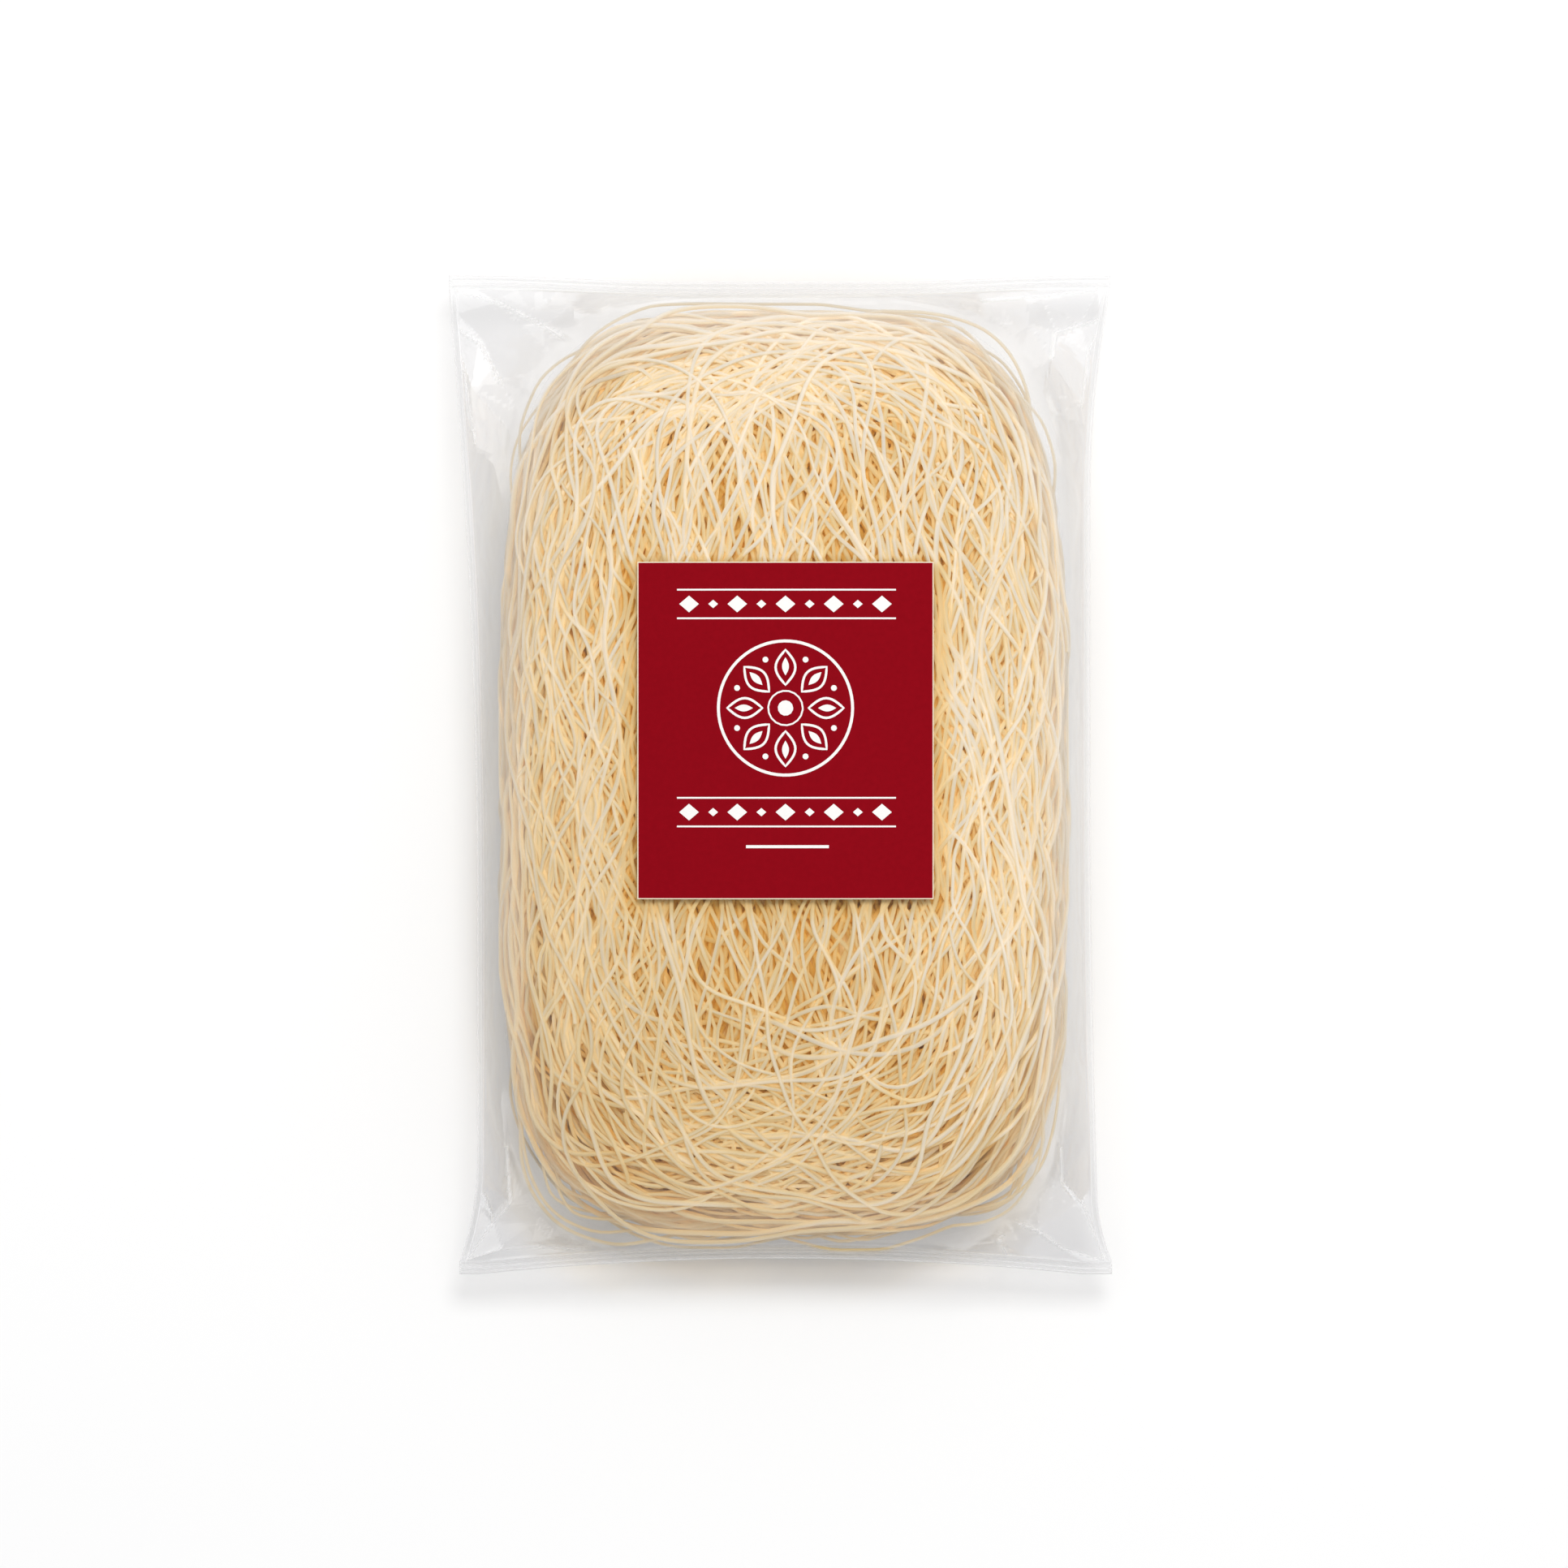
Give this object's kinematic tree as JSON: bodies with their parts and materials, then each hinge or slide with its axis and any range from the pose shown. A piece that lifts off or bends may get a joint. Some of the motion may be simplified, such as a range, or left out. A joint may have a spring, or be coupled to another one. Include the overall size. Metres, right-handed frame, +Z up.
{
  "type": "bag of dried glass noodles",
  "caption": "Clear sealed pillow bag filled with a bundle of thin wavy dried glass noodles, with a plain rectangular label stuck on its front.",
  "frame": {"origin": "centre of the bag's box, on the surface that its back rests on", "axes": "+X across the bag, to the right as the label is read; +Y along the bag, to the weld above the label; +Z up, out of the label's face"},
  "size_m": [0.1365, 0.2056, 0.0406],
  "materials": {
    "film_over_noodles": "clear glossy film, thin and slightly creased, over cream translucent dried noodles",
    "label_paper": "deep red printed label with a satin face and a thin pale cut edge"
  },
  "bodies": {
    "root": {"noodle_bag": "film_over_noodles", "label": "label_paper"}
  },
  "joints": []
}
